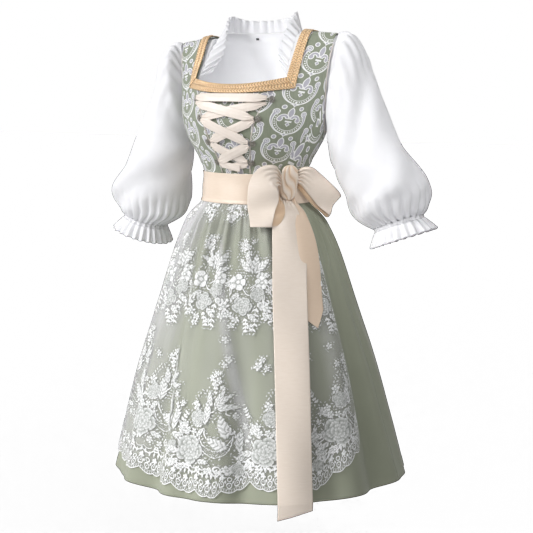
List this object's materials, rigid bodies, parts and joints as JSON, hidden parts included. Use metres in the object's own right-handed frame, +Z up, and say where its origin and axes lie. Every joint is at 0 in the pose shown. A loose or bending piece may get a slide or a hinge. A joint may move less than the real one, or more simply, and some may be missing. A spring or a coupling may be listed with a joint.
{
  "type": "dirndl dress",
  "caption": "Worn folk-dress set with nobody in it: puff-sleeved blouse, laced brocade bodice, gathered skirt, lace apron and satin sash tied in a bow.",
  "frame": {"origin": "middle of the shoulder line, where the wearer's shoulders carry the set", "axes": "+Z up, -Y towards the front of the wearer, +X towards the wearer's left"},
  "size_m": [0.8387, 0.5621, 1.1065],
  "materials": {
    "white_cotton": "soft matt white cotton",
    "brocade": "sage jacquard with a raised white and lavender figure",
    "gold_braid": "plaited gold braid with a metallic glint",
    "cream_piping": "satin-covered cord",
    "antique_metal": "antiqued cast filigree",
    "satin": "champagne satin",
    "sage_cloth": "matt sage cloth with a slight sheen",
    "white_lace": "embroidered white tulle"
  },
  "bodies": {
    "root": {"blouse_front": "white_cotton", "blouse_back": "white_cotton", "blouse_sleeve_l": "white_cotton", "blouse_sleeve_r": "white_cotton", "cuff_band_l": "white_cotton", "cuff_band_r": "white_cotton", "cuff_frill_l": "white_cotton", "cuff_frill_r": "white_cotton", "collar_frill": "white_cotton", "size_tab": "white_cotton", "bodice_centre": "brocade", "bodice_front_l": "brocade", "bodice_front_r": "brocade", "bodice_side_l": "brocade", "bodice_side_r": "brocade", "bodice_back_l": "brocade", "bodice_back_r": "brocade", "braid_front": "gold_braid", "braid_side_l": "gold_braid", "braid_side_r": "gold_braid", "braid_back": "gold_braid", "piping_front_l": "cream_piping", "piping_front_r": "cream_piping", "piping_armhole_l": "cream_piping", "piping_armhole_r": "cream_piping", "hook_l1": "antique_metal", "hook_l2": "antique_metal", "hook_l3": "antique_metal", "hook_l4": "antique_metal", "hook_r1": "antique_metal", "hook_r2": "antique_metal", "hook_r3": "antique_metal", "hook_r4": "antique_metal", "lace_top": "satin", "lace_1a": "satin", "lace_1b": "satin", "lace_2a": "satin", "lace_2b": "satin", "lace_3a": "satin", "lace_3b": "satin", "lace_4a": "satin", "lace_4b": "satin", "sash_band": "satin", "sash_knot": "satin", "sash_loop_l": "satin", "sash_loop_r": "satin", "sash_tail_long": "satin", "sash_tail_short": "satin", "skirt_front": "sage_cloth", "skirt_back": "sage_cloth", "apron_panel": "white_lace"}
  },
  "joints": []
}
